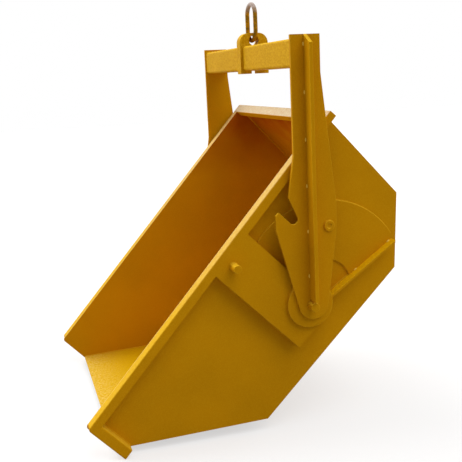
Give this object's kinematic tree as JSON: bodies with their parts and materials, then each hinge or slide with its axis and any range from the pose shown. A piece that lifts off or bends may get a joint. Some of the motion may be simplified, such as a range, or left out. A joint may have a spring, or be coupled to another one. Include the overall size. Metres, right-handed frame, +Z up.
{
  "type": "tipping crane skip",
  "caption": "Painted steel tipping skip hung from a crane: an open tub with a sloping discharge lip turns on pivots between the hooked arms of a bail with a lifting ring.",
  "frame": {"origin": "where the crane hook bears: the middle of the lifting ring's inner top", "axes": "+Z up along the hanging bail, X along the tub's pivots, the discharge lip towards -Y"},
  "size_m": [1.195, 1.1141, 1.4827],
  "materials": {
    "ochre_paint": "satin",
    "ring_paint": "satin"
  },
  "bodies": {
    "ring": {"lifting_ring": "ring_paint"},
    "bail": {"cross_beam": "ochre_paint", "lifting_lug": "ochre_paint", "arm_left": "ochre_paint", "arm_right": "ochre_paint", "arm_rib_left": "ochre_paint", "arm_rib_right": "ochre_paint", "stop_pin_left": "ochre_paint", "stop_pin_right": "ochre_paint"},
    "tub": {"front_plate": "ochre_paint", "floor_plate": "ochre_paint", "rear_slope_plate": "ochre_paint", "rear_wall": "ochre_paint", "rear_rim_bar": "ochre_paint", "side_plate_left": "ochre_paint", "side_plate_right": "ochre_paint", "rim_bar_left": "ochre_paint", "rim_bar_right": "ochre_paint", "front_edge_bar_left": "ochre_paint", "front_edge_bar_right": "ochre_paint", "pivot_box_left": "ochre_paint", "pivot_box_right": "ochre_paint", "wear_plate_left": "ochre_paint", "wear_plate_right": "ochre_paint", "stop_bar_left": "ochre_paint", "stop_bar_right": "ochre_paint", "latch_peg_left": "ochre_paint", "latch_peg_right": "ochre_paint", "pivot_disc_left": "ochre_paint", "pivot_disc_right": "ochre_paint", "pivot_pin_left": "ochre_paint", "pivot_pin_right": "ochre_paint"}
  },
  "joints": [
    {"name": "bail_swing", "type": "hinge", "parent": "ring", "child": "bail", "pos_m": [0, 0, -0.124], "axis": [1, 0, 0], "range_deg": [-75, 75]},
    {"name": "tub_tip", "type": "hinge", "parent": "bail", "child": "tub", "pos_m": [0, 0, -1.01546], "axis": [1, 0, 0], "range_deg": [-48.45, 45.1]}
  ]
}
